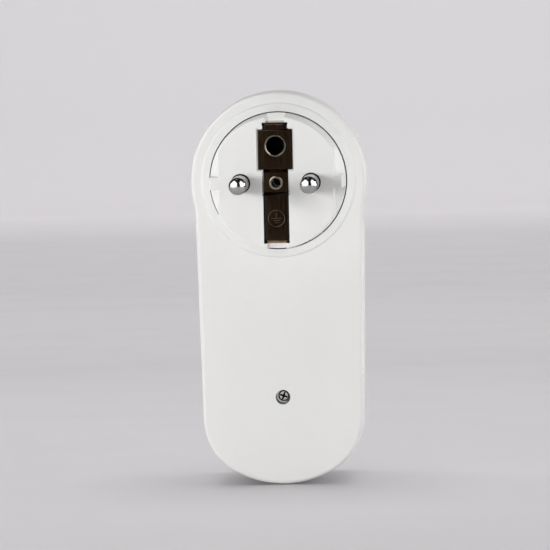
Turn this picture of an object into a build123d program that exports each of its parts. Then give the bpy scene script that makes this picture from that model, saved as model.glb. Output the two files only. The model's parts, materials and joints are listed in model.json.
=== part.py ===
from build123d import *
from math import sqrt
import os

# Plug-in power meter, plug side towards +Y, outlet and display side towards -Y, +Z up, millimetres.
# The origin is on the plug axis, in the face that the two pins stand on.
# A "depth" is a distance from that face towards the outlet side, so a depth of d is the plane y = -d.
# Left and right are as the user sees them from the outlet side: left is -X, right is +X.

os.makedirs("parts", exist_ok=True)

# ---- depths of the main planes ----
shoulder_depth = 17.0  # face of the raised ring that stops against the wall outlet
rear_depth = 19.0  # rear face of the housing
parting_depth = 30.0  # joint between the two shells
front_depth = 59.0  # face round the outlet and the display
wall = 2.0  # side walls of both shells
end_wall = 2.2  # rear and front walls of the shells

# ---- housing outline, seen along the plug axis ----
head_r = 24.0
body_top_w = 23.1  # half width of the body where it leaves the head
body_low_w = 21.73  # half width where the side line meets the bottom arc
body_bottom = 83.2  # lowest point below the plug axis
bottom_r = 27.0
corner_r = 17.0
neck_r = 7.0
parting_grow = 0.25  # the outline is this much larger at the joint between the shells
rear_draft = 1.3
front_draft = 4.0
rear_rim_r = 1.0
front_rim_r = 1.1
tongue_reach = 1.4  # the rear shell's tongue goes this far into the front shell
tongue_gap = 0.1

# ---- plug, to the usual 16 A earthed pattern ----
pin_pitch = 19.0
pin_r = 2.4
pin_length = 19.0
pin_root_r = 2.2  # the pins are a little thinner where the insert is moulded round them
pin_moat_r = 2.65  # a narrow ring-shaped gap round the foot of each pin
pin_moat_depth = 1.2
boss_face_r = 17.9
boss_base_r = 18.5
boss_draft = 2.0
boss_flat_x = 15.6
boss_flat_h = 18.0
boss_rib_w = 3.4
ledge_depth = 14.0
pedestal_r = 21.1
pedestal_rim_r = 0.5
boss_hole_r = 18.8
flange_r = 20.6
flange_back = 23.4
boss_wall = 2.2
boss_plate = 7.0
tail_r = 1.5
tail_depth = 22.0
earth_hole_z = 10.0
earth_hole_r = 2.45
sleeve_r = 2.9
sleeve_end = 15.5
earth_groove_w = 5.1
strap_t = 0.8
strap_reach = 16.3  # outer face of the side contacts above and below the axis
strap_arm = 14.0
strap_floor = 2.2
strap_gap = 0.7  # room beside the strap's long arms
block_gap = 0.3
block_w = 9.4
block_low, block_high = 3.6, 14.4
block_face = 0.25
block_edge_r = 0.3
centre_w = 6.7
lower_w = 5.5
upper_w = 5.3
rivet_r = 1.5
rivet_hole_r = 1.25
rivet_flange_r = 1.9
rivet_head = 0.95  # depth of the rivet's head
web_w = 11.0  # solid middle of the insert, which carries the strap and the sleeve
link_w = 4.4
link_top, link_low, link_tab = 2.6, -3.0, -8.0

# ---- outlet ----
recess_r = 19.75
recess_depth = 17.5
cup_r = 20.95
cup_floor = 2.0
pin_hole_r = 2.7
guide_x = 16.4
guide_slot = 5.2
guide_span = 16.0
carrier_base = 25.4  # front face of the carrier's base plate
carrier_rim_t = 1.4
contact_tube_r = 5.4
contact_bore_r = 3.6
contact_r = 3.15
contact_inner_r = 2.45
contact_slit = 1.2
clip_t = 0.6  # sheet of the contacts, busbars and earth clips
clip_w = 4.0
clip_reach = 18.9
clip_bend_depth, clip_nose_depth, clip_end_depth = 46.5, 51.5, 55.0
clip_nose, clip_end = 16.5, 17.9  # how far from the axis the arms' noses and ends stand
contact_tab_w, contact_tab_z = 3.2, -27.7
busbar_w, busbar_tab_w, busbar_end = 3.4, 2.0, -27.6
shutter_near = 37.7
shutter_t = 1.4
shutter_w = 6.4
shutter_span = 25.6
pivot_r = 1.5
shutter_hub_r = 3.8
post_r = 1.8
pivot_gap = 0.05
spring_r, spring_wire_r, spring_pitch, spring_turns = 2.7, 0.22, 0.8, 4

# ---- screws ----
screw_z = -59.4
screw_hole_r = 2.0
screw_head_r = 1.5
screw_recess = 5.0
screw_head_t = 1.4
screw_r = 1.1
screw_reach = 8.0  # length of the screw in the front shell
screw_column_r = 3.4
cross_w, cross_depth = 0.5, 0.7
small_head_r = 1.9
small_head_t = 1.3
small_r = 0.9

# ---- boards, display and buttons ----
board_t = 1.6
main_board_depth = 24.0
main_board_w = 37.0
main_board_top, main_board_bottom = -24.0, -76.0
main_board_corner, display_board_corner, board_corner = 12.0, 8.0, 1.0
board_post_r, display_post_r, peg_r = 2.6, 2.4, 1.2
lead_r = 0.4
display_board_depth = 50.2
display_board_w = 33.0
display_board_top, display_board_bottom = -24.5, -74.0
column_clear_r = 4.2
lcd_z = -40.0
view_w, view_h = 25.0, 14.0
window_w, window_h, window_t = 29.0, 18.0, 1.1
glass_w, glass_h, glass_t = 30.0, 17.6, 2.2
strip_t, strip_w = 2.0, 2.0
holder_w, holder_h = 34.0, 21.0
header_z = -52.9
header_pitch, header_count, header_w, header_pin = 2.54, 6, 2.5, 0.64
button_z = -67.2
button_pitch = 11.5
button_w, button_h, button_corner = 9.0, 5.6, 1.6
button_gap = 0.25
button_proud = 1.0
button_flange = 0.8
button_stem_r = 1.6
switch_w = 5.2
switch_t = 1.6
plunger_r = 1.15
plunger_top = 54.3
plunger_travel_room = 0.6  # free way under a plunger inside its switch

# ---- side grips ----
grip_top, grip_bottom = -11.6, -54.0
grip_t = 0.9
grip_near, grip_far = 20.8, 47.0
grip_step = 0.45
groove_pitch, groove_w, groove_t = 3.0, 0.9, 0.35

pin_places = [(-pin_pitch / 2, 0), (pin_pitch / 2, 0)]
carrier_screw_places = [(15.0, -6.2), (-15.0, 6.2)]
board_screw_places = [(-14.0, -29.5), (14.0, -29.5)]
board_peg_places = [(-12.0, -73.0), (12.0, -73.0)]
display_screw_places = [(-13.0, -26.8), (13.0, -26.8), (-13.0, -55.0), (13.0, -55.0)]
button_names = {"mode": -button_pitch, "up": 0.0, "set": button_pitch}
tab_depth = main_board_depth + board_t  # front of the main board
display_front = display_board_depth + board_t
cup_back = front_depth - recess_depth - cup_floor
recess_floor = front_depth - recess_depth
inner_face = front_depth - end_wall
glass_near = display_front + strip_t


def at(depth):
    """The plane at a depth, facing the outlet side, with +X across and +Z up."""
    return Plane.XZ.offset(depth)


def housing_outline(depth, grow=0.0):
    """Round head and tapering body with a rounded lower end, made larger all round by grow."""
    corner_z = bottom_r - body_bottom - sqrt(bottom_r**2 - body_low_w**2)
    with BuildSketch(at(depth)) as outline:
        with BuildLine():
            Line((-body_top_w, 0), (body_top_w, 0))
            Line((body_top_w, 0), (body_low_w, corner_z))
            ThreePointArc((body_low_w, corner_z), (0, -body_bottom), (-body_low_w, corner_z))
            Line((-body_low_w, corner_z), (-body_top_w, 0))
        make_face()
        fillet(outline.vertices().group_by(Axis.Y)[0], corner_r)
        Circle(head_r)
        fillet(outline.vertices().filter_by_position(Axis.Y, -body_top_w / 2, -1), neck_r)
        if grow:
            offset(amount=grow)
    return outline.sketch


def rear_form(inset=0.0, length=parting_depth - rear_depth, mode=Mode.ADD):
    """The rear shell's outside, from the joint back towards the wall, drawn in by inset."""
    extrude(housing_outline(parting_depth, parting_grow - inset), -length, taper=rear_draft, mode=mode)


def front_form(inset=0.0, length=front_depth - parting_depth, mode=Mode.ADD):
    """The front shell's outside, from the joint forwards, drawn in by inset."""
    extrude(housing_outline(parting_depth, parting_grow - inset), length, taper=front_draft, mode=mode)


def grip_band(side, inset, near, far):
    """The stretch of one side wall, inset deep, between two depths, as a strip of its own."""
    with BuildPart(mode=Mode.PRIVATE) as band:
        rear_form()
        front_form()
        rear_form(inset, mode=Mode.SUBTRACT)
        front_form(inset, mode=Mode.SUBTRACT)
        with BuildSketch(Plane.YZ):
            with Locations((-(near + far) / 2, (grip_top + grip_bottom) / 2)):
                Rectangle(far - near, grip_top - grip_bottom)
        extrude(amount=side * 2 * head_r, mode=Mode.INTERSECT)
    return band.part


def finger_grooves(side):
    """Rows of shallow grooves that follow the outside of one grip."""
    rows = int((grip_top - grip_bottom) / groove_pitch) - 1
    with BuildPart(mode=Mode.PRIVATE) as grooves:
        add(grip_band(side, groove_t, parting_depth + 2, grip_far - 2))
        with BuildSketch(Plane.YZ):
            with Locations((-(grip_near + grip_far) / 2, (grip_top + grip_bottom) / 2)):
                with GridLocations(0, groove_pitch, 1, rows):
                    Rectangle(grip_far - grip_near, groove_w)
        extrude(amount=side * 2 * head_r, mode=Mode.INTERSECT)
    return grooves.part


def disc(radius, near, far, places=((0, 0),), mode=Mode.ADD):
    """Round bars along the plug axis, between two depths."""
    with BuildSketch(at(near)) as profile:
        with Locations(*places):
            Circle(radius)
    extrude(profile.sketch, far - near, mode=mode)


def block(width, height, near, far, places=((0, 0),), mode=Mode.ADD):
    """Rectangular bars along the plug axis, width across and height up, between two depths."""
    with BuildSketch(at(near)) as profile:
        with Locations(*places):
            Rectangle(width, height)
    extrude(profile.sketch, far - near, mode=mode)


def tile(width, height, radius, near, far, places=((0, 0),), mode=Mode.ADD):
    """Bars like block, with rounded corners."""
    with BuildSketch(at(near)) as profile:
        with Locations(*places):
            RectangleRounded(width, height, radius)
    extrude(profile.sketch, far - near, mode=mode)


def strap_plan(side_gap=0.0, mode=Mode.ADD, near=-1.0, far=strap_arm + 1.0):
    """The earth strap seen from the plug side, made wider on both sides by side_gap."""
    near_gap = min(side_gap, block_gap)
    with BuildSketch(at(near)) as plan:
        with Locations((0, (block_low + block_high) / 2)):
            Rectangle(block_w + 2 * near_gap, block_high - block_low + 2 * near_gap)
        with Locations((0, block_gap)):
            Rectangle(centre_w + 2 * near_gap, 2 * block_low)
        with Locations((0, -strap_reach / 2)):
            Rectangle(lower_w + 2 * side_gap, strap_reach)
        with Locations((0, (block_high + strap_reach) / 2)):
            Rectangle(upper_w + 2 * side_gap, strap_reach - block_high)
    extrude(plan.sketch, far - near, mode=mode)


def pan_screws(places, head_near, length):
    """Small pan-head screws driven from the outlet side, with cross recesses."""
    head_far = head_near + small_head_t
    disc(small_head_r, head_near, head_far, places)
    fillet(edges().group_by(Axis.Y)[0], small_head_t / 3)
    disc(small_r, head_near - length, head_near, places)
    cross_recess(places, head_far - cross_depth, head_far)


def cross_recess(places, near, far):
    """Two crossed slots in a screw's head."""
    reach = 1.2 * small_head_r
    for w, h in ((reach, cross_w), (cross_w, reach)):
        block(w, h, near, far, places, mode=Mode.SUBTRACT)


# ---- housing ----

with BuildPart() as rear_shell:
    rear_form()
    fillet(faces().sort_by(Axis.Y)[-1].edges(), rear_rim_r)
    disc(pedestal_r, shoulder_depth, rear_depth)
    fillet(edges().group_by(Axis.Y)[-1], pedestal_rim_r)
    rear_form(wall, parting_depth - rear_depth - end_wall, Mode.SUBTRACT)
    disc(boss_hole_r, shoulder_depth, rear_depth + end_wall, mode=Mode.SUBTRACT)
    # tongue that slides into the front shell's groove
    tongue = housing_outline(parting_depth, parting_grow - wall / 2 - tongue_gap)
    extrude(tongue - housing_outline(parting_depth, parting_grow - wall), tongue_reach)
    # screw column, board posts and locating pegs
    disc(screw_column_r, rear_depth + end_wall, parting_depth, [(0, screw_z)])
    disc(screw_hole_r, rear_depth, rear_depth + screw_recess + screw_head_t, [(0, screw_z)], Mode.SUBTRACT)
    disc(screw_r + 0.1, rear_depth, parting_depth, [(0, screw_z)], Mode.SUBTRACT)
    disc(board_post_r, rear_depth + end_wall, main_board_depth, board_screw_places + board_peg_places)
    disc(small_r, rear_depth + end_wall, main_board_depth, board_screw_places, Mode.SUBTRACT)
    disc(peg_r, main_board_depth, tab_depth, board_peg_places)
    for side in (-1, 1):
        add(grip_band(side, grip_step, rear_depth - 0.5, parting_depth), mode=Mode.SUBTRACT)
        add(grip_band(side, grip_t, grip_near, parting_depth), mode=Mode.SUBTRACT)
rear_shell.part.label = "rear_shell"
export_step(rear_shell.part, "parts/rear_shell.step")

with BuildPart() as front_shell:
    front_form()
    fillet(faces().sort_by(Axis.Y)[0].edges(), front_rim_r)
    front_form(wall, front_depth - parting_depth - end_wall, Mode.SUBTRACT)
    # groove for the rear shell's tongue
    groove = housing_outline(parting_depth, parting_grow - wall / 2)
    extrude(groove, tongue_reach + tongue_gap, mode=Mode.SUBTRACT)
    # screw column and display posts
    disc(screw_column_r, parting_depth, inner_face, [(0, screw_z)])
    disc(screw_r, parting_depth, parting_depth + screw_reach + 1, [(0, screw_z)], Mode.SUBTRACT)
    disc(display_post_r, display_front, inner_face, display_screw_places)
    disc(small_r, display_front, inner_face, display_screw_places, Mode.SUBTRACT)
    # openings for the outlet, the display and the buttons
    disc(cup_r, parting_depth, front_depth, mode=Mode.SUBTRACT)
    tile(view_w, view_h, 1.0, inner_face, front_depth, [(0, lcd_z)], Mode.SUBTRACT)
    tile(window_w, window_h, 2.0, front_depth - window_t, front_depth, [(0, lcd_z)], Mode.SUBTRACT)
    for x in button_names.values():
        tile(
            button_w + 2 * button_gap,
            button_h + 2 * button_gap,
            button_corner + button_gap,
            inner_face,
            front_depth,
            [(x, button_z)],
            Mode.SUBTRACT,
        )
    for side in (-1, 1):
        add(grip_band(side, grip_t, parting_depth, grip_far), mode=Mode.SUBTRACT)
front_shell.part.label = "front_shell"
export_step(front_shell.part, "parts/front_shell.step")

for side, name in ((-1, "left_grip"), (1, "right_grip")):
    with BuildPart() as grip:
        add(grip_band(side, grip_t, grip_near, grip_far))
        add(finger_grooves(side), mode=Mode.SUBTRACT)
    grip.part.label = name
    export_step(grip.part, f"parts/{name}.step")

with BuildPart() as housing_screw:
    head_near = rear_depth + screw_recess
    head_far = head_near + screw_head_t
    disc(screw_head_r, head_near, head_far, [(0, screw_z)])
    fillet(edges().group_by(Axis.Y)[-1], 0.4)
    disc(screw_r, head_far, parting_depth + screw_reach, [(0, screw_z)])
    for turn in (20, 110):
        with BuildSketch(at(head_near)):
            with Locations(Location((0, screw_z), turn)):
                Rectangle(1.4 * screw_head_r, cross_w)
        extrude(amount=cross_depth, mode=Mode.SUBTRACT)
housing_screw.part.label = "housing_screw"
export_step(housing_screw.part, "parts/housing_screw.step")

# ---- plug ----

with BuildPart() as plug_insert:
    with BuildSketch(at(shoulder_depth)):
        Circle(boss_base_r)
    extrude(amount=-shoulder_depth, taper=boss_draft)
    # flats with a rib on the pin line, at both sides
    flat_h = (boss_flat_h - boss_rib_w) / 2
    for side in (-1, 1):
        for half in (-1, 1):
            centre = (side * (boss_flat_x + boss_base_r / 2), half * (boss_rib_w + flat_h) / 2)
            block(boss_base_r, flat_h, 0, ledge_depth, [centre], Mode.SUBTRACT)
    fillet(faces().sort_by(Axis.Y)[-1].edges(), 0.35)
    disc(boss_base_r, shoulder_depth, rear_depth + end_wall)
    disc(flange_r, rear_depth + end_wall, flange_back)
    # hollow back, leaving the pin columns and the earth web
    with BuildSketch(at(boss_plate)):
        Circle(boss_face_r - boss_wall)
        Rectangle(2 * (boss_flat_x - boss_wall), 2 * boss_base_r, mode=Mode.INTERSECT)
        with Locations(*pin_places):
            Circle(2 * pin_r, mode=Mode.SUBTRACT)
        Rectangle(web_w, 2 * boss_base_r, mode=Mode.SUBTRACT)
    extrude(amount=flange_back - boss_plate, mode=Mode.SUBTRACT)
    link_place = (0, (link_top + link_low) / 2 - 0.4)
    block(link_w + 2, link_top - link_low + 3, boss_plate, flange_back, [link_place], Mode.SUBTRACT)
    # the pins' columns end where the busbars start, which leave through notches in the flange
    disc(2 * pin_r + 0.1, tail_depth - clip_t, flange_back, pin_places, Mode.SUBTRACT)
    notch_places = [(x, -flange_r / 2 - 1) for x, z in pin_places]
    block(busbar_w + 1, flange_r + 6, rear_depth + end_wall, flange_back, notch_places, Mode.SUBTRACT)
    # bores for the pins and their thinner tails, the earth sleeve, the rivet and the carrier's screws
    disc(pin_root_r, 0, shoulder_depth, pin_places, Mode.SUBTRACT)
    disc(pin_moat_r, 0, pin_moat_depth, pin_places, Mode.SUBTRACT)
    disc(tail_r, shoulder_depth, flange_back, pin_places, Mode.SUBTRACT)
    disc(sleeve_r, 0, sleeve_end, [(0, earth_hole_z)], Mode.SUBTRACT)
    disc(rivet_r, 0, boss_plate, mode=Mode.SUBTRACT)
    disc(small_r, flange_back - 8, flange_back, carrier_screw_places, Mode.SUBTRACT)
    # seat of the earth strap in the face, slots of its arms and the grooves outside them
    strap_plan(strap_gap, Mode.SUBTRACT, 0, strap_floor)
    for end in (-1, 1):
        slot_z = end * (strap_reach - strap_t / 2)
        block(lower_w + 2 * strap_gap, strap_t, 0, strap_arm + 0.5, [(0, slot_z)], Mode.SUBTRACT)
        groove_z = end * (strap_reach + 2)
        block(earth_groove_w, 4, 0, shoulder_depth, [(0, groove_z)], Mode.SUBTRACT)
plug_insert.part.label = "plug_insert"
export_step(plug_insert.part, "parts/plug_insert.step")

for (x, z), name in zip(pin_places, ("plug_pin_left", "plug_pin_right")):
    with BuildPart() as pin:
        with BuildSketch(Plane.XY.offset(z)):
            with BuildLine():
                tip_y = pin_length - pin_r
                Line((x, -tail_depth), (x + tail_r, -tail_depth))
                Line((x + tail_r, -tail_depth), (x + tail_r, -shoulder_depth))
                Line((x + tail_r, -shoulder_depth), (x + pin_root_r, -shoulder_depth))
                Line((x + pin_root_r, -shoulder_depth), (x + pin_root_r, 0))
                Line((x + pin_root_r, 0), (x + pin_r, 0))
                Line((x + pin_r, 0), (x + pin_r, tip_y))
                CenterArc((x, tip_y), pin_r, 0, 90)
                Line((x, pin_length), (x, -tail_depth))
            make_face()
        revolve(axis=Axis((x, 0, z), (0, 1, 0)))
    pin.part.label = name
    export_step(pin.part, f"parts/{name}.step")

with BuildPart() as earth_strap:
    low_y, mid_y, high_y = -strap_floor, strap_t - strap_floor, -strap_t
    inner = strap_reach - strap_t
    with BuildSketch(Plane.YZ):
        Polygon(
            (-strap_arm, strap_reach),
            (high_y, strap_reach),
            (high_y, block_high),
            (-block_face, block_high),
            (-block_face, block_low + 0.3),
            (mid_y, block_low - strap_t),
            (mid_y, -2.5),
            (high_y, -3.3),
            (high_y, -strap_reach),
            (-strap_arm, -strap_reach),
            (-strap_arm, -inner),
            (high_y - strap_t, -inner),
            (high_y - strap_t, -3.3),
            (low_y, -2.5),
            (low_y, block_high),
            (high_y - strap_t, block_high),
            (high_y - strap_t, inner),
            (-strap_arm, inner),
            align=None,
        )
        bends = vertices().filter_by_position(Axis.X, high_y - 0.01, high_y + 0.01)
        fillet(bends.filter_by(lambda v: abs(v.Y) > strap_reach - 0.1), strap_t)
    extrude(amount=block_w / 2, both=True)
    strap_plan(mode=Mode.INTERSECT)
    disc(sleeve_r, 0, strap_floor, [(0, earth_hole_z)], Mode.SUBTRACT)
    disc(rivet_r, 0, strap_floor, mode=Mode.SUBTRACT)
    fillet(faces().filter_by(Axis.Y).sort_by(Axis.Y)[-1].outer_wire().edges(), block_edge_r)
earth_strap.part.label = "earth_strap"
export_step(earth_strap.part, "parts/earth_strap.step")

with BuildPart() as earth_pin_sleeve:
    disc(sleeve_r, 0.2, sleeve_end, [(0, earth_hole_z)])
    disc(earth_hole_r, 0.2, sleeve_end - 0.6, [(0, earth_hole_z)], Mode.SUBTRACT)
    chamfer(edges().group_by(Axis.Y)[-1].sort_by(SortBy.RADIUS)[0], 0.2)
earth_pin_sleeve.part.label = "earth_pin_sleeve"
export_step(earth_pin_sleeve.part, "parts/earth_pin_sleeve.step")

with BuildPart() as earth_rivet:
    rivet_seat = strap_floor - strap_t
    rivet_end = boss_plate + 2 * clip_t
    disc(rivet_flange_r, rivet_head, rivet_seat)
    fillet(edges().group_by(Axis.Y)[-1], 0.3)
    disc(rivet_r, rivet_seat, rivet_end - clip_t)
    disc(rivet_flange_r, rivet_end - clip_t, rivet_end)
    disc(rivet_hole_r, rivet_head, rivet_end, mode=Mode.SUBTRACT)
earth_rivet.part.label = "earth_rivet"
export_step(earth_rivet.part, "parts/earth_rivet.step")

with BuildPart() as earth_link:
    with BuildSketch(Plane.YZ):
        Polygon(
            (-boss_plate, link_top),
            (-boss_plate, link_low - clip_t),
            (-carrier_base, link_low - clip_t),
            (-carrier_base, link_tab),
            (-carrier_base - clip_t, link_tab),
            (-carrier_base - clip_t, link_low),
            (-boss_plate - clip_t, link_low),
            (-boss_plate - clip_t, link_top),
            align=None,
        )
    extrude(amount=link_w / 2, both=True)
    disc(rivet_r, boss_plate, boss_plate + clip_t, mode=Mode.SUBTRACT)
earth_link.part.label = "earth_link"
export_step(earth_link.part, "parts/earth_link.step")

# ---- outlet ----

tube_end = shutter_near - 0.3

with BuildPart() as contact_carrier:
    disc(flange_r, flange_back, cup_back)
    disc(flange_r - carrier_rim_t, carrier_base, cup_back, mode=Mode.SUBTRACT)
    disc(contact_tube_r, carrier_base, tube_end, pin_places)
    disc(contact_bore_r, carrier_base, tube_end, pin_places, Mode.SUBTRACT)
    disc(pin_hole_r, flange_back, carrier_base, pin_places, Mode.SUBTRACT)
    disc(post_r, carrier_base, tube_end)
    disc(pivot_r, tube_end, cup_back - 0.1)
    # ways out at the bottom for the contacts' tabs, and the slot for the earth link
    way_w = pin_pitch + 2 * contact_tube_r + 2
    block(way_w, flange_r, carrier_base, cup_back, [(0, -flange_r)], Mode.SUBTRACT)
    tab_places = [(x, -contact_tube_r + 0.4) for x, z in pin_places]
    tab_room = contact_tab_w + 0.8
    block(tab_room, tab_room + 0.4, carrier_base, carrier_base + 2 * clip_t, tab_places, Mode.SUBTRACT)
    slot_z = link_low - clip_t / 2
    block(link_w + clip_t, clip_t + 0.4, flange_back, carrier_base, [(0, slot_z)], Mode.SUBTRACT)
    disc(small_r, flange_back, carrier_base, carrier_screw_places, Mode.SUBTRACT)
contact_carrier.part.label = "contact_carrier"
export_step(contact_carrier.part, "parts/contact_carrier.step")

with BuildPart() as carrier_screws:
    pan_screws(carrier_screw_places, carrier_base, 8)
carrier_screws.part.label = "carrier_screws"
export_step(carrier_screws.part, "parts/carrier_screws.step")

contact_end = tube_end - 0.3
for (x, z), name in zip(pin_places, ("left_contact", "right_contact")):
    with BuildPart() as contact:
        disc(contact_r, tab_depth, contact_end, [(x, z)])
        disc(contact_inner_r, tab_depth, contact_end, [(x, z)], Mode.SUBTRACT)
        mouth = edges().group_by(Axis.Y)[0].sort_by(SortBy.RADIUS)[0]
        chamfer(mouth, 0.4)
        slit_z = z + contact_r
        block(contact_slit, 2 * contact_r, tab_depth + 2, shutter_near, [(x, slit_z)], Mode.SUBTRACT)
        # the tab that lies on the main board
        tab_top = z - contact_inner_r - 0.25
        tab_place = (x, (tab_top + contact_tab_z) / 2)
        block(contact_tab_w, tab_top - contact_tab_z, tab_depth, tab_depth + clip_t, [tab_place])
    contact.part.label = name
    export_step(contact.part, f"parts/{name}.step")

with BuildPart() as socket_earth_clip:
    bridge = carrier_base + clip_t
    with BuildSketch(Plane.YZ):
        Polygon(
            (-bridge, 0),
            (-bridge, clip_reach),
            (-clip_bend_depth, clip_reach),
            (-clip_nose_depth, clip_nose),
            (-clip_end_depth, clip_end),
            (-clip_end_depth - 0.2, clip_end - clip_t),
            (-clip_nose_depth, clip_nose - clip_t),
            (-clip_bend_depth, clip_reach - clip_t),
            (-bridge - clip_t, clip_reach - clip_t),
            (-bridge - clip_t, 0),
            align=None,
        )
        mirror(about=Plane.XZ)
    extrude(amount=clip_w / 2, both=True)
    disc(clip_w, bridge, bridge + clip_t)
    disc(post_r + 0.15, bridge, bridge + clip_t, mode=Mode.SUBTRACT)
socket_earth_clip.part.label = "socket_earth_clip"
export_step(socket_earth_clip.part, "parts/socket_earth_clip.step")

with BuildPart() as shutter:
    with BuildSketch(at(shutter_near)):
        SlotOverall(shutter_span, shutter_w)
        Circle(shutter_hub_r)
    extrude(amount=shutter_t)
    chamfer(edges().group_by(Axis.Y)[0], 0.4)
    disc(pivot_r + pivot_gap, shutter_near, shutter_near + shutter_t, mode=Mode.SUBTRACT)
shutter.part.label = "shutter"
export_step(shutter.part, "parts/shutter.step")

with BuildPart() as shutter_spring:
    start = (0, -shutter_near + 0.9, 0)
    with BuildLine() as coil:
        Helix(spring_pitch, spring_turns * spring_pitch, spring_r, center=start, direction=(0, 1, 0))
    with BuildSketch(Plane(coil.line @ 0, z_dir=coil.line % 0)):
        Circle(spring_wire_r)
    sweep(is_frenet=True)
shutter_spring.part.label = "shutter_spring"
export_step(shutter_spring.part, "parts/shutter_spring.step")

with BuildPart() as socket_cup:
    disc(cup_r - 0.05, cup_back, front_depth)
    disc(recess_r, recess_floor, front_depth, mode=Mode.SUBTRACT)
    # guide ribs at both sides, with a slot between them for the plug's rib
    with BuildSketch(at(recess_floor)):
        Circle(recess_r + 0.3)
        Rectangle(2 * guide_x, 2 * cup_r, mode=Mode.SUBTRACT)
        Rectangle(2 * cup_r, guide_slot, mode=Mode.SUBTRACT)
        Rectangle(2 * cup_r, guide_span, mode=Mode.INTERSECT)
    extrude(amount=recess_depth - 2)
    chamfer(faces().sort_by(Axis.Y)[0].inner_wires()[0].edges(), 0.4)
    disc(pin_hole_r, cup_back, recess_floor, pin_places, Mode.SUBTRACT)
    clip_slot = 2.6
    for end in (-1, 1):
        slot_z = end * (clip_reach + 0.5 - clip_slot / 2)
        block(clip_w + 0.8, clip_slot, cup_back, recess_floor, [(0, slot_z)], Mode.SUBTRACT)
socket_cup.part.label = "socket_cup"
export_step(socket_cup.part, "parts/socket_cup.step")

# ---- power path and main board ----

for (x, z), name in zip(pin_places, ("left_busbar", "right_busbar")):
    with BuildPart() as busbar:
        top_z = z + tail_r + 0.7
        bar_place = (x, (busbar_end + top_z) / 2)
        block(busbar_w, top_z - busbar_end, tail_depth - clip_t, tail_depth, [bar_place])
        block(busbar_tab_w, clip_t, tail_depth, tab_depth, [(x, busbar_end + clip_t / 2)])
        disc(tail_r, tail_depth - clip_t, tail_depth, [(x, z)], Mode.SUBTRACT)
    busbar.part.label = name
    export_step(busbar.part, f"parts/{name}.step")

with BuildPart() as main_board:
    with BuildSketch(at(main_board_depth)):
        with Locations((0, (main_board_top + main_board_bottom) / 2)):
            Rectangle(main_board_w, main_board_top - main_board_bottom)
        fillet(vertices().group_by(Axis.Y)[0], main_board_corner)
        fillet(vertices().group_by(Axis.Y)[-1], board_corner)
        with Locations((0, screw_z)):
            Circle(column_clear_r, mode=Mode.SUBTRACT)
        with Locations(*board_screw_places):
            Circle(small_r, mode=Mode.SUBTRACT)
        with Locations(*board_peg_places):
            Circle(peg_r, mode=Mode.SUBTRACT)
        with Locations(*[(x, busbar_end + clip_t / 2) for x, z in pin_places]):
            Rectangle(busbar_tab_w, clip_t, mode=Mode.SUBTRACT)
    extrude(amount=board_t)
main_board.part.label = "main_board"
export_step(main_board.part, "parts/main_board.step")

with BuildPart() as board_screws:
    pan_screws(board_screw_places, tab_depth, 3.8)
board_screws.part.label = "board_screws"
export_step(board_screws.part, "parts/board_screws.step")

with BuildPart() as dropper_capacitor:
    case_x, case_z = -7.0, -38.0
    case_w, case_h, case_t, case_stand, lead_span = 20.0, 8.4, 14.6, 0.4, 15.0
    tile(case_w, case_h, 0.8, tab_depth + case_stand, tab_depth + case_stand + case_t, [(case_x, case_z)])
    fillet(edges().group_by(Axis.Y)[0], 0.6)
    lead_places = [(case_x + side * lead_span / 2, case_z) for side in (-1, 1)]
    disc(lead_r, tab_depth, tab_depth + case_stand, lead_places)
dropper_capacitor.part.label = "dropper_capacitor"
export_step(dropper_capacitor.part, "parts/dropper_capacitor.step")

with BuildPart() as surge_varistor:
    disc_r, disc_t, disc_x, disc_z, stand = 5.2, 4.0, 11.0, -37.6, 1.4
    with BuildSketch(Plane.XY.offset(disc_z)):
        with Locations((disc_x, -tab_depth - stand - disc_r)):
            Circle(disc_r)
    extrude(amount=disc_t)
    fillet(edges(), 1.2)
    lead_places = [(disc_x - 2.5, disc_z + 1.4), (disc_x + 2.5, disc_z + disc_t - 1.4)]
    disc(lead_r, tab_depth, tab_depth + stand + 1, lead_places)
surge_varistor.part.label = "surge_varistor"
export_step(surge_varistor.part, "parts/surge_varistor.step")

with BuildPart() as input_fuse:
    fuse_r, fuse_x, fuse_z, fuse_length, cap_length = 2.5, 5.0, -43.0, 11.0, 2.5
    with BuildSketch(Plane.YZ.offset(fuse_x)):
        with Locations((-tab_depth - fuse_r, fuse_z)):
            Circle(fuse_r - 0.2)
    extrude(amount=fuse_length)
    for start in (fuse_x, fuse_x + fuse_length - cap_length):
        with BuildSketch(Plane.YZ.offset(start)):
            with Locations((-tab_depth - fuse_r, fuse_z)):
                Circle(fuse_r)
        extrude(amount=cap_length)
input_fuse.part.label = "input_fuse"
export_step(input_fuse.part, "parts/input_fuse.step")

with BuildPart() as smoothing_capacitor:
    can_r, can_h, can_place, crimp_depth = 5.0, 12.0, (-12.5, -48.6), 0.3
    disc(can_r, tab_depth, tab_depth + can_h, [can_place])
    fillet(edges().group_by(Axis.Y)[0], 0.8)
    with BuildSketch(at(tab_depth + 1.8)):
        with Locations(can_place):
            Circle(can_r + 0.2)
            Circle(can_r - crimp_depth, mode=Mode.SUBTRACT)
    extrude(amount=0.8, mode=Mode.SUBTRACT)
smoothing_capacitor.part.label = "smoothing_capacitor"
export_step(smoothing_capacitor.part, "parts/smoothing_capacitor.step")

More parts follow.
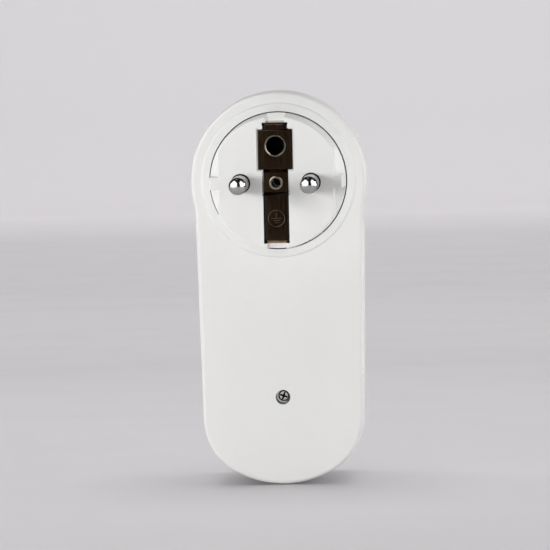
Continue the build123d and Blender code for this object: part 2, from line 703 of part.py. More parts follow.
with BuildPart() as current_shunt:
    shunt_x, shunt_z, shunt_w, shunt_h, shunt_t, shunt_span = 11.0, -51.2, 3.0, 6.0, 1.0, 9.0
    with BuildSketch(Plane.XY.offset(shunt_z)):
        with Locations((shunt_x, -tab_depth - shunt_h / 2)):
            Rectangle(shunt_span, shunt_h)
        fillet(vertices().group_by(Axis.Y)[0], 2 * shunt_t)
        with Locations((shunt_x, -tab_depth - (shunt_h - shunt_t) / 2)):
            Rectangle(shunt_span - 2 * shunt_t, shunt_h - shunt_t, mode=Mode.SUBTRACT)
    extrude(amount=shunt_w)
current_shunt.part.label = "current_shunt"
export_step(current_shunt.part, "parts/current_shunt.step")

with BuildPart() as metering_chip:
    chip_x, chip_z, chip_w, chip_h, chip_legs, leg_pitch = -1.5, -46.8, 4.0, 8.0, 6, 1.27
    block(chip_w, chip_h, tab_depth + 0.2, tab_depth + 1.8, [(chip_x, chip_z)])
    for side in (-1, 1):
        leg_x = chip_x + side * (chip_w / 2 + 0.6)
        legs = [(leg_x, chip_z + leg_pitch * (i - (chip_legs - 1) / 2)) for i in range(chip_legs)]
        block(1.2, 0.45, tab_depth, tab_depth + 0.6, legs)
metering_chip.part.label = "metering_chip"
export_step(metering_chip.part, "parts/metering_chip.step")

with BuildPart() as timing_crystal:
    crystal_w, crystal_h, crystal_t, crystal_place = 11.0, 4.6, 3.4, (10.5, -61.0)
    tile(crystal_w, crystal_h, 2.2, tab_depth, tab_depth + crystal_t, [crystal_place])
    fillet(edges().group_by(Axis.Y)[0], 0.5)
timing_crystal.part.label = "timing_crystal"
export_step(timing_crystal.part, "parts/timing_crystal.step")

with BuildPart() as backup_cell:
    cell_r, cell_t, cell_place = 5.6, 5.0, (-10.5, -64.0)
    disc(cell_r, tab_depth, tab_depth + cell_t, [cell_place])
    fillet(edges().group_by(Axis.Y)[0], 0.8)
backup_cell.part.label = "backup_cell"
export_step(backup_cell.part, "parts/backup_cell.step")

with BuildPart() as resistors:
    resistor_r, resistor_x, resistor_length = 1.2, 5.0, 6.4
    for z in (-65.6, -69.2):
        with BuildSketch(Plane.YZ.offset(resistor_x)):
            with Locations((-tab_depth - resistor_r - 0.1, z)):
                Circle(resistor_r)
        extrude(amount=resistor_length)
    fillet(edges(), 0.4)
resistors.part.label = "resistors"
export_step(resistors.part, "parts/resistors.step")

# ---- display board, display and buttons ----

with BuildPart() as display_board:
    with BuildSketch(at(display_board_depth)):
        with Locations((0, (display_board_top + display_board_bottom) / 2)):
            Rectangle(display_board_w, display_board_top - display_board_bottom)
        fillet(vertices().group_by(Axis.Y)[0], display_board_corner)
        fillet(vertices().group_by(Axis.Y)[-1], board_corner)
        with Locations((0, screw_z)):
            Circle(column_clear_r, mode=Mode.SUBTRACT)
        with Locations(*display_screw_places):
            Circle(small_r, mode=Mode.SUBTRACT)
    extrude(amount=board_t)
display_board.part.label = "display_board"
export_step(display_board.part, "parts/display_board.step")

with BuildPart() as display_screws:
    head_near = display_board_depth
    disc(small_head_r, head_near - small_head_t, head_near, display_screw_places)
    fillet(edges().group_by(Axis.Y)[-1], small_head_t / 3)
    disc(small_r, head_near, head_near + 5.5, display_screw_places)
    cross_recess(display_screw_places, head_near - small_head_t, head_near - small_head_t + cross_depth)
display_screws.part.label = "display_screws"
export_step(display_screws.part, "parts/display_screws.step")

with BuildPart() as board_header:
    header_length = header_count * header_pitch + 0.36
    pin_row = [(header_pitch * (i - (header_count - 1) / 2), header_z) for i in range(header_count)]
    for near in (tab_depth, display_board_depth - header_w):
        block(header_length, header_w, near, near + header_w, [(0, header_z)])
    block(header_pin, header_pin, tab_depth, display_board_depth, pin_row)
board_header.part.label = "board_header"
export_step(board_header.part, "parts/board_header.step")

with BuildPart() as controller_chip:
    flat_w, flat_legs, flat_pitch = 9.0, 10, 0.8
    block(flat_w, flat_w, display_board_depth - 1.5, display_board_depth - 0.1, [(0, lcd_z)])
    for turn in range(4):
        with BuildSketch(at(display_board_depth - 0.6)):
            with Locations(Location((0, lcd_z), turn * 90)):
                with Locations((flat_w / 2 + 0.5, 0)):
                    with GridLocations(0, flat_pitch, 1, flat_legs):
                        Rectangle(1.2, 0.35)
        extrude(amount=0.6)
controller_chip.part.label = "controller_chip"
export_step(controller_chip.part, "parts/controller_chip.step")

with BuildPart() as contact_strips:
    strip_places = [(0, lcd_z + end * (glass_h / 2 - 0.2 - strip_w / 2)) for end in (-1, 1)]
    block(glass_w - 2, strip_w, display_front, glass_near, strip_places)
contact_strips.part.label = "contact_strips"
export_step(contact_strips.part, "parts/contact_strips.step")

with BuildPart() as lcd_panel:
    block(glass_w, glass_h, glass_near, glass_near + glass_t / 2, [(0, lcd_z)])
    block(glass_w, glass_h - 2, glass_near + glass_t / 2, glass_near + glass_t, [(0, lcd_z + 1)])
lcd_panel.part.label = "lcd_panel"
export_step(lcd_panel.part, "parts/lcd_panel.step")

with BuildPart() as lcd_holder:
    tile(holder_w, holder_h, 1.5, display_front, inner_face, [(0, lcd_z)])
    block(glass_w, glass_h, display_front, glass_near + glass_t, [(0, lcd_z)], Mode.SUBTRACT)
    block(view_w + 1, view_h + 1, display_front, front_depth, [(0, lcd_z)], Mode.SUBTRACT)
lcd_holder.part.label = "lcd_holder"
export_step(lcd_holder.part, "parts/lcd_holder.step")

with BuildPart() as lcd_window:
    tile(window_w - 0.1, window_h - 0.1, 1.95, front_depth - window_t, front_depth - 0.05, [(0, lcd_z)])
lcd_window.part.label = "lcd_window"
export_step(lcd_window.part, "parts/lcd_window.step")

for button_name, x in button_names.items():
    with BuildPart() as button:
        flange_front = inner_face - 0.05
        tile(button_w, button_h, button_corner, flange_front, front_depth + button_proud, [(x, button_z)])
        fillet(edges().group_by(Axis.Y)[0], 0.6)
        flange_near = flange_front - button_flange
        tile(button_w + 1.6, button_h + 1.6, 2, flange_near, flange_front, [(x, button_z)])
        disc(button_stem_r, plunger_top, flange_near, [(x, button_z)])
    button.part.label = f"{button_name}_button"
    export_step(button.part, f"parts/{button_name}_button.step")

    with BuildPart() as plunger:
        disc(plunger_r, display_front + 0.3 + plunger_travel_room, plunger_top, [(x, button_z)])
        fillet(edges().group_by(Axis.Y)[-1], 0.2)
    plunger.part.label = f"{button_name}_plunger"
    export_step(plunger.part, f"parts/{button_name}_plunger.step")

with BuildPart() as key_switches:
    switch_places = [(x, button_z) for x in button_names.values()]
    tile(switch_w, switch_w, 0.5, display_front, display_front + switch_t, switch_places)
    disc(plunger_r + 0.1, display_front + 0.3, display_front + switch_t, switch_places, Mode.SUBTRACT)
key_switches.part.label = "key_switches"
export_step(key_switches.part, "parts/key_switches.step")
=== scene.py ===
import json
import math

import bmesh
import bpy
from mathutils import Matrix, Vector


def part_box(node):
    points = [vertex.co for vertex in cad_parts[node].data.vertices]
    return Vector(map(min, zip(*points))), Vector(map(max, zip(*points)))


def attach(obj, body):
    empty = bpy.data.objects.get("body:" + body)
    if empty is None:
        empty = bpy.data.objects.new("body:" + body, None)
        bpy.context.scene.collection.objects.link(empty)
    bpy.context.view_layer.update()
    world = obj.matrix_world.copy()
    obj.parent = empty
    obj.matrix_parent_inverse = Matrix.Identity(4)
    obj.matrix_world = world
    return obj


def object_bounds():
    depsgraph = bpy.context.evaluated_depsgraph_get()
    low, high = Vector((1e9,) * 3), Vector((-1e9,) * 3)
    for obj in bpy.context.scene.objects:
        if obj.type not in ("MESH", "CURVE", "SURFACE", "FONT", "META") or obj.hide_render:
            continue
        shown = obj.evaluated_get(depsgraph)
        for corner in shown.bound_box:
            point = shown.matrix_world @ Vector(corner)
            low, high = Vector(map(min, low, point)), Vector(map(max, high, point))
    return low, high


# The plug in power meter, seen from its plug side on a pale floor. Metres, the frame of the CAD model:
# +Y along the plug's pins, -Y towards the outlet and the display, +Z up.

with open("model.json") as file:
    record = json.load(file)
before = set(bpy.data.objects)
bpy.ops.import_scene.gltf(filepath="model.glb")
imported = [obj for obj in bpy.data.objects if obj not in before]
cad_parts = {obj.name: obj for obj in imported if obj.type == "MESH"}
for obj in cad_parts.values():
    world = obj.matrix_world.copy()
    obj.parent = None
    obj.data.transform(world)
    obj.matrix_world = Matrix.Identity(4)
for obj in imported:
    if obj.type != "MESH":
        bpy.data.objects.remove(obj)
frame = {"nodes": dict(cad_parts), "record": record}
cad_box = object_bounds()
nodes = frame["nodes"]
slot_of = {part["node"]: part["material_slot"] for part in frame["record"]["subparts"]}

MM = 0.001
floor_z = cad_box[0][2]
UP = Vector((0, 0, 1))
REARWARD = Vector((0, 1, 0))
FORWARD = Vector((0, -1, 0))


# ---- node helpers ----


class Look:
    """A material under construction: its node tree and its Principled shader."""

    def __init__(self, name):
        self.material = bpy.data.materials.new(name)
        self.material.use_nodes = True
        self.tree = self.material.node_tree
        self.shader = self.tree.nodes["Principled BSDF"]
        self.place = self.add("ShaderNodeTexCoord").outputs["Object"]

    def add(self, kind, **settings):
        node = self.tree.nodes.new(kind)
        for key, value in settings.items():
            setattr(node, key, value)
        return node

    def link(self, output, socket):
        self.tree.links.new(output, socket)

    def value(self, name, number):
        self.shader.inputs[name].default_value = number

    def noise(self, scale, detail=3.0, roughness=0.5, stretch=None):
        """Noise in the object's own coordinates; scale is in features per metre."""
        node = self.add("ShaderNodeTexNoise")
        node.inputs["Scale"].default_value = scale
        node.inputs["Detail"].default_value = detail
        node.inputs["Roughness"].default_value = roughness
        source = self.place
        if stretch:
            mapping = self.add("ShaderNodeMapping")
            mapping.inputs["Scale"].default_value = stretch
            self.link(source, mapping.inputs["Vector"])
            source = mapping.outputs["Vector"]
        self.link(source, node.inputs["Vector"])
        return node.outputs["Fac"]

    def math(self, operation, first, second, third=None):
        node = self.add("ShaderNodeMath", operation=operation)
        for socket, item in zip(node.inputs, (first, second, third)):
            if item is None:
                continue
            if isinstance(item, (int, float)):
                socket.default_value = item
            else:
                self.link(item, socket)
        return node.outputs[0]

    def spread(self, source, low, high, from_low=0.35, from_high=0.65):
        """source, which mostly lies between from_low and from_high, moved to low..high."""
        node = self.add("ShaderNodeMapRange")
        limits = {"From Min": from_low, "From Max": from_high, "To Min": low, "To Max": high}
        for name, number in limits.items():
            node.inputs[name].default_value = number
        self.link(source, node.inputs["Value"])
        return node.outputs["Result"]

    def mix(self, factor, first, second):
        """A colour between two, which are colours or sockets."""
        node = self.add("ShaderNodeMix", data_type="RGBA")
        self.link(factor, node.inputs["Factor"])
        for socket, item in ((node.inputs["A"], first), (node.inputs["B"], second)):
            if isinstance(item, (tuple, list)):
                socket.default_value = (*item, 1.0)
            else:
                self.link(item, socket)
        return node.outputs["Result"]

    def painted_shade_mask(self, shade_wells):
        """Mask of painted shade in recesses: 1 deep inside wells along Y and 0 elsewhere.

        A well is (x, z, half_x, half_z, rim, fade, floor) in millimetres. It is round where its halves are
        equal, darkens over fade below its rim and ends at its floor.
        """
        split = self.add("ShaderNodeSeparateXYZ")
        self.link(self.place, split.inputs["Vector"])
        total = None
        for x, z, half_x, half_z, rim, fade, floor in shade_wells:
            across = self.math("DIVIDE", self.math("SUBTRACT", split.outputs["X"], x * MM), half_x * MM)
            upward = self.math("DIVIDE", self.math("SUBTRACT", split.outputs["Z"], z * MM), half_z * MM)
            if half_x == half_z:
                reach = self.math("MULTIPLY_ADD", upward, upward, self.math("MULTIPLY", across, across))
            else:
                sideways, lengthways = self.math("ABSOLUTE", across, 0), self.math("ABSOLUTE", upward, 0)
                reach = self.math("MAXIMUM", sideways, lengthways)
            above = self.math("GREATER_THAN", split.outputs["Y"], floor * MM)
            inside = self.math("MULTIPLY", self.math("LESS_THAN", reach, 1.0), above)
            deep = self.spread(split.outputs["Y"], 0, 1, rim * MM, (rim - fade) * MM)
            mask = self.math("MULTIPLY", inside, deep)
            total = self.math("MAXIMUM", total, mask) if total else mask
        return total

    def bump(self, *layers):
        """Bump layers, each (height socket, strength, distance in metres), stacked."""
        normal = None
        for height, strength, distance in layers:
            node = self.add("ShaderNodeBump")
            node.inputs["Strength"].default_value = strength
            node.inputs["Distance"].default_value = distance
            self.link(height, node.inputs["Height"])
            if normal:
                self.link(normal, node.inputs["Normal"])
            normal = node.outputs["Normal"]
        self.link(normal, self.shader.inputs["Normal"])


# Painted shade: the colour that recesses are darkened to, standing in for the shade inside them.
painted_shade_black = (0.004, 0.003, 0.003)
flow_scale, cloud_scale, gloss_scale = 38, 260, 700
grain_scale, wave_scale = 5200, 420
drawn_scale, stain_scale = 2600, 320


def shade(color, factor):
    """A colour made lighter or darker."""
    return tuple(min(1.0, channel * factor) for channel in color)


def moulded(name, color, roughness, grain=0.25, vary=0.04, coat=0.0, glow=0.0, shade_wells=()):
    """Moulded plastic: slight flow marks, a fine spark-eroded grain and uneven gloss, with painted shade deep
    in its wells.
    """
    look = Look(name)
    flow = look.noise(flow_scale, 4, 0.55, (1.0, 1.0, 0.35))
    cloud = look.noise(cloud_scale, 3)
    tone = look.math("MULTIPLY_ADD", cloud, 0.4, flow)
    tint = look.mix(look.spread(tone, 0, 1, 0.5, 0.9), shade(color, 1 - vary), shade(color, 1 + vary / 3))
    # Painted shade: the colour is darkened deep inside the wells.
    if shade_wells:
        tint = look.mix(look.painted_shade_mask(shade_wells), tint, painted_shade_black)
    look.link(tint, look.shader.inputs["Base Color"])
    gloss = look.spread(look.noise(gloss_scale, 4), roughness - 0.05, roughness + 0.06)
    look.link(gloss, look.shader.inputs["Roughness"])
    fine = look.noise(grain_scale, 2, 0.6)
    broad = look.noise(wave_scale, 2)
    look.bump((broad, 0.05, 0.00006), (fine, grain, 0.000012))
    look.value("Coat Weight", coat)
    look.value("Coat Roughness", 0.12)
    look.value("Subsurface Weight", glow)
    look.value("Subsurface Radius", (0.0012, 0.0011, 0.001))
    look.value("Subsurface Scale", 1.0)
    return look.material


def metal(name, color, roughness, brush=0.0, axis_stretch=(1, 1, 1), shade_wells=(), edge=1.0):
    """Bare or plated metal: fine drawing marks along an axis, slight staining, and painted shade deep in
    wells if given.

    edge is how bright its reflections are at grazing angles.
    """
    stain = 0.06
    look = Look(name)
    look.value("Metallic", 1.0)
    look.value("Specular Tint", (edge, edge, edge, 1.0))
    marks = look.noise(drawn_scale, 3, 0.6, axis_stretch)
    spots = look.noise(stain_scale, 5, 0.65)
    clean, stained = shade(color, 1 + stain), shade(color, 1 - 2 * stain)
    tint = look.mix(look.spread(spots, 0, 1, 0.38, 0.62), stained, clean)
    # Painted shade: the colour is darkened deep inside the wells.
    if shade_wells:
        tint = look.mix(look.painted_shade_mask(shade_wells), tint, painted_shade_black)
    look.link(tint, look.shader.inputs["Base Color"])
    gloss = look.math("MULTIPLY_ADD", marks, 0.10 + brush * 0.3, max(0.02, roughness - 0.06))
    look.link(gloss, look.shader.inputs["Roughness"])
    look.bump((marks, 0.04 + brush, 0.00001), (look.noise(900, 2), 0.05, 0.00002))
    return look.material


def bronze_painted_bend_highlight(name, dark, highlight_color):
    """Dark plated bronze, painted brighter where the strap is bent over the plug's rim: a painted highlight
    on the bends.
    """
    highlight_start, highlight_end, raggedness = 15.9 * MM, 16.5 * MM, 0.9 * MM
    look = Look(name)
    look.value("Metallic", 1.0)
    look.value("Specular Tint", (0.5, 0.48, 0.45, 1.0))
    split = look.add("ShaderNodeSeparateXYZ")
    look.link(look.place, split.inputs["Vector"])
    spots = look.noise(420, 5, 0.65)
    height = look.math("ABSOLUTE", split.outputs["Z"], 0)
    ragged = look.math("MULTIPLY_ADD", spots, raggedness, height)
    # Painted highlight: the colour turns bright over the bends at the top and bottom of the strap, with a
    # ragged edge.
    painted_highlight = look.spread(ragged, 0, 1, highlight_start, highlight_end)
    plated = look.mix(look.spread(spots, 0, 1), shade(dark, 0.85), shade(dark, 1.15))
    look.link(look.mix(painted_highlight, plated, highlight_color), look.shader.inputs["Base Color"])
    marks = look.noise(drawn_scale, 3, 0.6, (1, 1, 0.08))
    look.link(look.spread(marks, 0.11, 0.19), look.shader.inputs["Roughness"])
    look.bump((look.noise(900, 2), 0.05, 0.00002), (spots, 0.05, 0.00002))
    return look.material


def laminate(name):
    """Circuit board: green mask over darker tracks, with a woven glass core showing faintly."""
    look = Look(name)
    tracks = look.add("ShaderNodeTexVoronoi", feature="DISTANCE_TO_EDGE", distance="MANHATTAN")
    tracks.inputs["Scale"].default_value = 330
    look.link(look.place, tracks.inputs["Vector"])
    path = look.spread(tracks.outputs["Distance"], 0, 1, 0.10, 0.13)
    weave = look.add("ShaderNodeTexWave", wave_type="BANDS", bands_direction="X")
    weave.inputs["Scale"].default_value = 900
    look.link(look.place, weave.inputs["Vector"])
    threads = look.spread(weave.outputs["Fac"], 0, 1, 0, 1)
    mask = look.mix(threads, (0.012, 0.105, 0.035), (0.016, 0.125, 0.042))
    look.link(look.mix(path, (0.035, 0.22, 0.075), mask), look.shader.inputs["Base Color"])
    look.link(look.spread(look.noise(800), 0.22, 0.36), look.shader.inputs["Roughness"])
    look.bump((path, 0.3, 0.00004), (weave.outputs["Fac"], 0.04, 0.00002))
    return look.material


def clear(name, color, roughness, thickness_tint=0.0):
    """Clear moulding with very fine wipe marks."""
    look = Look(name)
    look.value("Transmission Weight", 1.0)
    look.value("IOR", 1.49)
    tint = look.mix(look.spread(look.noise(60), 0, 1), shade(color, 1 - thickness_tint), color)
    look.link(tint, look.shader.inputs["Base Color"])
    marks = look.noise(1500, 4, 0.7, (1, 1, 0.1))
    look.link(look.spread(marks, roughness, roughness + 0.05), look.shader.inputs["Roughness"])
    look.bump((look.noise(300, 2), 0.03, 0.00002))
    return look.material


def display_glass(name):
    """Reflective display: grey-green polariser over a mirror back, with a faint mottle."""
    look = Look(name)
    tint = look.mix(look.spread(look.noise(240, 3), 0, 1), (0.235, 0.265, 0.215), (0.265, 0.295, 0.24))
    look.link(tint, look.shader.inputs["Base Color"])
    look.value("Metallic", 0.25)
    look.link(look.spread(look.noise(4000, 2), 0.24, 0.36), look.shader.inputs["Roughness"])
    look.value("Coat Weight", 0.8)
    look.value("Coat Roughness", 0.05)
    look.bump((look.noise(6000, 2), 0.08, 0.00001))
    return look.material


def striped_rubber(name):
    """Silicone contact strip: thin dark conducting layers between pale insulating ones."""
    look = Look(name)
    bands = look.add("ShaderNodeTexWave", wave_type="BANDS", bands_direction="X")
    bands.inputs["Scale"].default_value = 1300
    look.link(look.place, bands.inputs["Vector"])
    stripe = look.spread(bands.outputs["Fac"], 0, 1, 0.45, 0.55)
    look.link(look.mix(stripe, (0.03, 0.03, 0.03), (0.62, 0.36, 0.38)), look.shader.inputs["Base Color"])
    look.link(look.spread(look.noise(900), 0.5, 0.65), look.shader.inputs["Roughness"])
    look.bump((bands.outputs["Fac"], 0.1, 0.00002))
    return look.material


def banded(name, body, rings, start, pitch):
    """Resistor body with colour rings along X, the first at start and pitch apart, in millimetres."""
    ring_half_w = 0.28 * MM
    look = Look(name)
    split = look.add("ShaderNodeSeparateXYZ")
    look.link(look.place, split.inputs["Vector"])
    color = body
    for index, ring in enumerate(rings):
        centre = (start + index * pitch) * MM
        away = look.math("ABSOLUTE", look.math("SUBTRACT", split.outputs["X"], centre), 0)
        inside = look.math("LESS_THAN", away, ring_half_w)
        color = look.mix(inside, color, ring)
    look.link(color, look.shader.inputs["Base Color"])
    look.link(look.spread(look.noise(600), 0.25, 0.4), look.shader.inputs["Roughness"])
    look.bump((look.noise(1200), 0.1, 0.00003))
    return look.material


# ---- materials, one for each slot of the record ----

white = (0.80, 0.80, 0.785)
screw_low, screw_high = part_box("housing_screw")
screw_x, screw_z = (screw_low.x + screw_high.x) / 2 / MM, (screw_low.z + screw_high.z) / 2 / MM
sleeve_low, sleeve_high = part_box("earth_pin_sleeve")
sleeve_z = (sleeve_low.z + sleeve_high.z) / 2 / MM
pin_x = (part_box("plug_pin_right")[0].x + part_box("plug_pin_right")[1].x) / 2 / MM
rear_y = -19.0  # rear face of the housing, in millimetres like the rest of the wells
rivet_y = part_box("earth_rivet")[1].y / MM
# Recesses whose colour is darkened as painted shade: the screw well and its cross, the earth sleeve, the
# rivet and the link and carrier holes behind it, the gap round the boss, the moats round the pins and the
# grooves beside the strap.
screw_well = (screw_x, screw_z, 2.1, 2.1, rear_y - 0.2, 0.8, rear_y - 6.0)
cross_well = (screw_x, screw_z, 1.6, 1.6, screw_high.y / MM - 0.12, 0.1, screw_high.y / MM - 1.0)
sleeve_well = (0.0, sleeve_z, 2.6, 2.6, sleeve_high.y / MM - 0.25, 1.0, sleeve_low.y / MM)
rivet_well = (0.0, 0.0, 1.4, 1.4, rivet_y - 0.4, 0.3, rivet_y - 9.0)
link_well = (0.0, 0.0, 1.6, 1.6, rivet_y - 1.0, 0.3, rivet_y - 9.0)
carrier_well = (0.0, 0.0, 1.6, 1.6, rivet_y - 20.0, 0.3, -26.0)
boss_gap = (0.0, 0.0, 18.86, 18.86, -17.3, 0.5, -23.5)
pin_moats = [(side * pin_x, 0.0, 2.75, 2.75, -0.05, 0.3, -1.5) for side in (-1, 1)]
strap_grooves = [(0.0, -9.8, 3.7, 6.65, -0.3, 0.6, -15.0), (0.0, 15.4, 3.6, 1.05, -0.3, 0.6, -15.0)]
insert_wells = pin_moats + strap_grooves + [boss_gap]
shell_finish = {"roughness": 0.36, "grain": 0.22, "vary": 0.02, "coat": 0.1, "glow": 0.06}
insert_finish = {"roughness": 0.34, "grain": 0.16, "vary": 0.025, "coat": 0.1, "glow": 0.06}
looks = {
    "housing_white": moulded("housing_white", white, shade_wells=[screw_well, boss_gap], **shell_finish),
    "insert_white": moulded("insert_white", white, shade_wells=insert_wells, **insert_finish),
    "inner_plastic": moulded("inner_plastic", (0.70, 0.70, 0.68), 0.5, grain=0.3, shade_wells=[carrier_well]),
    "grip_plastic": moulded("grip_plastic", (0.79, 0.79, 0.775), 0.42, grain=0.5, vary=0.03),
    "pin_nickel": metal("pin_nickel", (0.52, 0.515, 0.505), 0.05, 0.02, (1, 0.05, 1), edge=0.55),
    "strap_bronze": bronze_painted_bend_highlight("strap_bronze", (0.047, 0.030, 0.018), (0.40, 0.29, 0.18)),
    "sleeve_metal": metal("sleeve_metal", (0.42, 0.38, 0.31), 0.14, 0.03, shade_wells=[sleeve_well, rivet_well]),
    "contact_brass": metal("contact_brass", (0.80, 0.58, 0.27), 0.24, 0.08, (1, 0.1, 1), shade_wells=[link_well]),
    "screw_steel": metal("screw_steel", (0.78, 0.77, 0.75), 0.2, 0.08, shade_wells=[cross_well]),
    "spring_steel": metal("spring_steel", (0.55, 0.55, 0.54), 0.25, 0.05),
    "board_green": laminate("board_green"),
    "chip_black": moulded("chip_black", (0.018, 0.018, 0.019), 0.5, grain=0.8),
    "capacitor_yellow": moulded("capacitor_yellow", (0.66, 0.43, 0.05), 0.34, grain=0.3),
    "varistor_blue": moulded("varistor_blue", (0.02, 0.09, 0.32), 0.3, grain=0.4, coat=0.3),
    "can_metal": metal("can_metal", (0.76, 0.77, 0.78), 0.22, 0.08, (1, 0.05, 1)),
    "fuse_glass": clear("fuse_glass", (0.93, 0.96, 0.95), 0.02),
    "resistor_body": banded(
        "resistor_body",
        (0.55, 0.40, 0.22),
        [(0.30, 0.10, 0.02), (0.02, 0.02, 0.02), (0.45, 0.12, 0.02), (0.55, 0.40, 0.08)],
        6.4,
        1.2,
    ),
    "header_black": moulded("header_black", (0.02, 0.02, 0.02), 0.45, grain=0.5),
    "strip_rubber": striped_rubber("strip_rubber"),
    "lcd_glass": display_glass("lcd_glass"),
    "window_clear": clear("window_clear", (0.97, 0.98, 0.98), 0.01, 0.01),
    "button_grey": moulded("button_grey", (0.17, 0.18, 0.20), 0.42, grain=0.4),
    "shutter_plastic": moulded("shutter_plastic", (0.62, 0.62, 0.60), 0.45, grain=0.3),
}

# The wells' painted shade runs along Y from the plug side. These two, on the other side, have the same
# plastic without it.
own_looks = {
    "socket_cup": moulded("cup_white", white, **insert_finish),
    "front_shell": moulded("front_white", white, **shell_finish),
}


# ---- finish of the CAD nodes: soft edges and shading ----


def smooth_group(angle):
    """Geometry nodes that shade a mesh smooth, apart from edges sharper than the angle."""
    group = bpy.data.node_groups.new("smooth_by_angle", "GeometryNodeTree")
    group.interface.new_socket("Geometry", in_out="INPUT", socket_type="NodeSocketGeometry")
    group.interface.new_socket("Geometry", in_out="OUTPUT", socket_type="NodeSocketGeometry")
    start = group.nodes.new("NodeGroupInput")
    end = group.nodes.new("NodeGroupOutput")
    plain = group.nodes.new("GeometryNodeRemoveAttribute")
    plain.inputs["Name"].default_value = "custom_normal"
    faces = group.nodes.new("GeometryNodeSetShadeSmooth")
    faces.domain = "FACE"
    edges = group.nodes.new("GeometryNodeSetShadeSmooth")
    edges.domain = "EDGE"
    edges.inputs["Shade Smooth"].default_value = False
    bend = group.nodes.new("GeometryNodeInputMeshEdgeAngle")
    sharp = group.nodes.new("FunctionNodeCompare")
    sharp.operation = "GREATER_THAN"
    sharp.inputs["B"].default_value = angle
    group.links.new(start.outputs[0], plain.inputs["Geometry"])
    group.links.new(plain.outputs["Geometry"], faces.inputs["Geometry"])
    group.links.new(faces.outputs["Geometry"], edges.inputs["Geometry"])
    group.links.new(bend.outputs["Unsigned Angle"], sharp.inputs["A"])
    group.links.new(sharp.outputs["Result"], edges.inputs["Selection"])
    group.links.new(edges.outputs["Geometry"], end.inputs[0])
    return group


smooth = smooth_group(math.radians(32))
weld_reach = 0.002 * MM
edge_width = {  # millimetres
    "rear_shell": 0.16,
    "front_shell": 0.16,
    "plug_insert": 0.14,
    "earth_strap": 0.10,
    "left_grip": 0.10,
    "right_grip": 0.10,
    "socket_cup": 0.16,
    "contact_carrier": 0.12,
}


def finish_node(name):
    """Material, soft edges where the real moulding has them, and smooth shading."""
    thing = nodes[name]
    thing.data.materials.clear()
    thing.data.materials.append(own_looks.get(name, looks[slot_of[name]]))
    if name not in edge_width:
        return
    weld = thing.modifiers.new("weld", "WELD")
    weld.merge_threshold = weld_reach
    if name == "earth_strap":
        flat = thing.modifiers.new("flat_faces", "DECIMATE")
        flat.decimate_type = "DISSOLVE"
        flat.angle_limit = math.radians(0.5)
    bevel = thing.modifiers.new("soft_edges", "BEVEL")
    bevel.limit_method = "ANGLE"
    bevel.angle_limit = math.radians(40)
    bevel.width = edge_width[name] * MM
    bevel.segments = 2
    shading = thing.modifiers.new("shading", "NODES")
    shading.node_group = smooth
    even = thing.modifiers.new("even_faces", "WEIGHTED_NORMAL")
    even.keep_sharp = True
    even.weight = 100


for node_name in nodes:
    finish_node(node_name)


# ---- pieces added to the CAD model ----


# Cross-section of a raised line, as (share of its width, share of its height).
line_section = [(-0.5, 0.0), (-0.42, 0.7), (-0.2, 1.0), (0.2, 1.0), (0.42, 0.7), (0.5, 0.0)]


def new_piece(name, work, body, slot, look=None):
    """A mesh piece from a filled bmesh, riding on a body, in its slot's look or one of its own."""
    mesh = bpy.data.meshes.new(name)
    bmesh.ops.recalc_face_normals(work, faces=work.faces)
    work.to_mesh(mesh)
    work.free()
    thing = bpy.data.objects.new(name, mesh)
    bpy.context.scene.collection.objects.link(thing)
    mesh.materials.append(look or looks[slot])
    shading = thing.modifiers.new("shading", "NODES")
    shading.node_group = smooth
    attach(thing, body)
    return thing


def add_ring(work, centre, outward, radius, thick, rise, count=64):
    """A raised ring about centre, thick wide and rise high, on a face in the XZ plane with normal outward."""
    rows = []
    for step in range(count):
        turn = 2 * math.pi * step / count
        ray = Vector((math.cos(turn), 0, math.sin(turn)))
        places = [centre + ray * (radius + u * thick) + outward * (v * rise) for u, v in line_section]
        rows.append([work.verts.new(place) for place in places])
    for one, two in zip(rows, rows[1:] + rows[:1]):
        for i in range(len(line_section)):
            j = (i + 1) % len(line_section)
            work.faces.new((one[i], one[j], two[j], two[i]))


def add_bar(work, start, end, outward, thick, rise):
    """A raised bar with rounded flanks from start to end on a face whose normal is outward."""
    along = (end - start).normalized()
    side = along.cross(outward)
    first, last = (
        [work.verts.new(point + side * u * thick + outward * v * rise) for u, v in line_section]
        for point in (start, end)
    )
    for i in range(len(line_section)):
        j = (i + 1) % len(line_section)
        work.faces.new((first[i], first[j], last[j], last[i]))
    work.faces.new(first)
    work.faces.new(last)


def earth_mark():
    """The stamped earth sign on the strap: a ring round three bars of falling length under a stem."""
    arm_drop, mark_z, ring_r, ring_w, ring_h, bar_w, bar_h = 0.55, -9.6, 2.2, 0.26, 0.07, 0.24, 0.06
    stem_top, stem_foot = 1.5, 0.02
    face_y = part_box("earth_strap")[1].y - arm_drop * MM
    centre = Vector((0, face_y, mark_z * MM))
    work = bmesh.new()
    add_ring(work, centre, REARWARD, ring_r * MM, ring_w * MM, ring_h * MM)
    add_bar(work, centre + UP * stem_top * MM, centre + UP * stem_foot * MM, REARWARD, bar_w * MM, bar_h * MM)
    for drop, half in ((0.0, 1.35), (0.55, 0.9), (1.1, 0.45)):
        middle = centre - Vector((0, 0, drop * MM))
        reach = Vector((half * MM, 0, 0))
        add_bar(work, middle - reach, middle + reach, REARWARD, bar_w * MM, bar_h * MM)
    stamped = metal("stamped_bronze", (0.095, 0.068, 0.046), 0.3, 0.05)
    return new_piece("earth_mark", work, "housing", "strap_bronze", stamped)


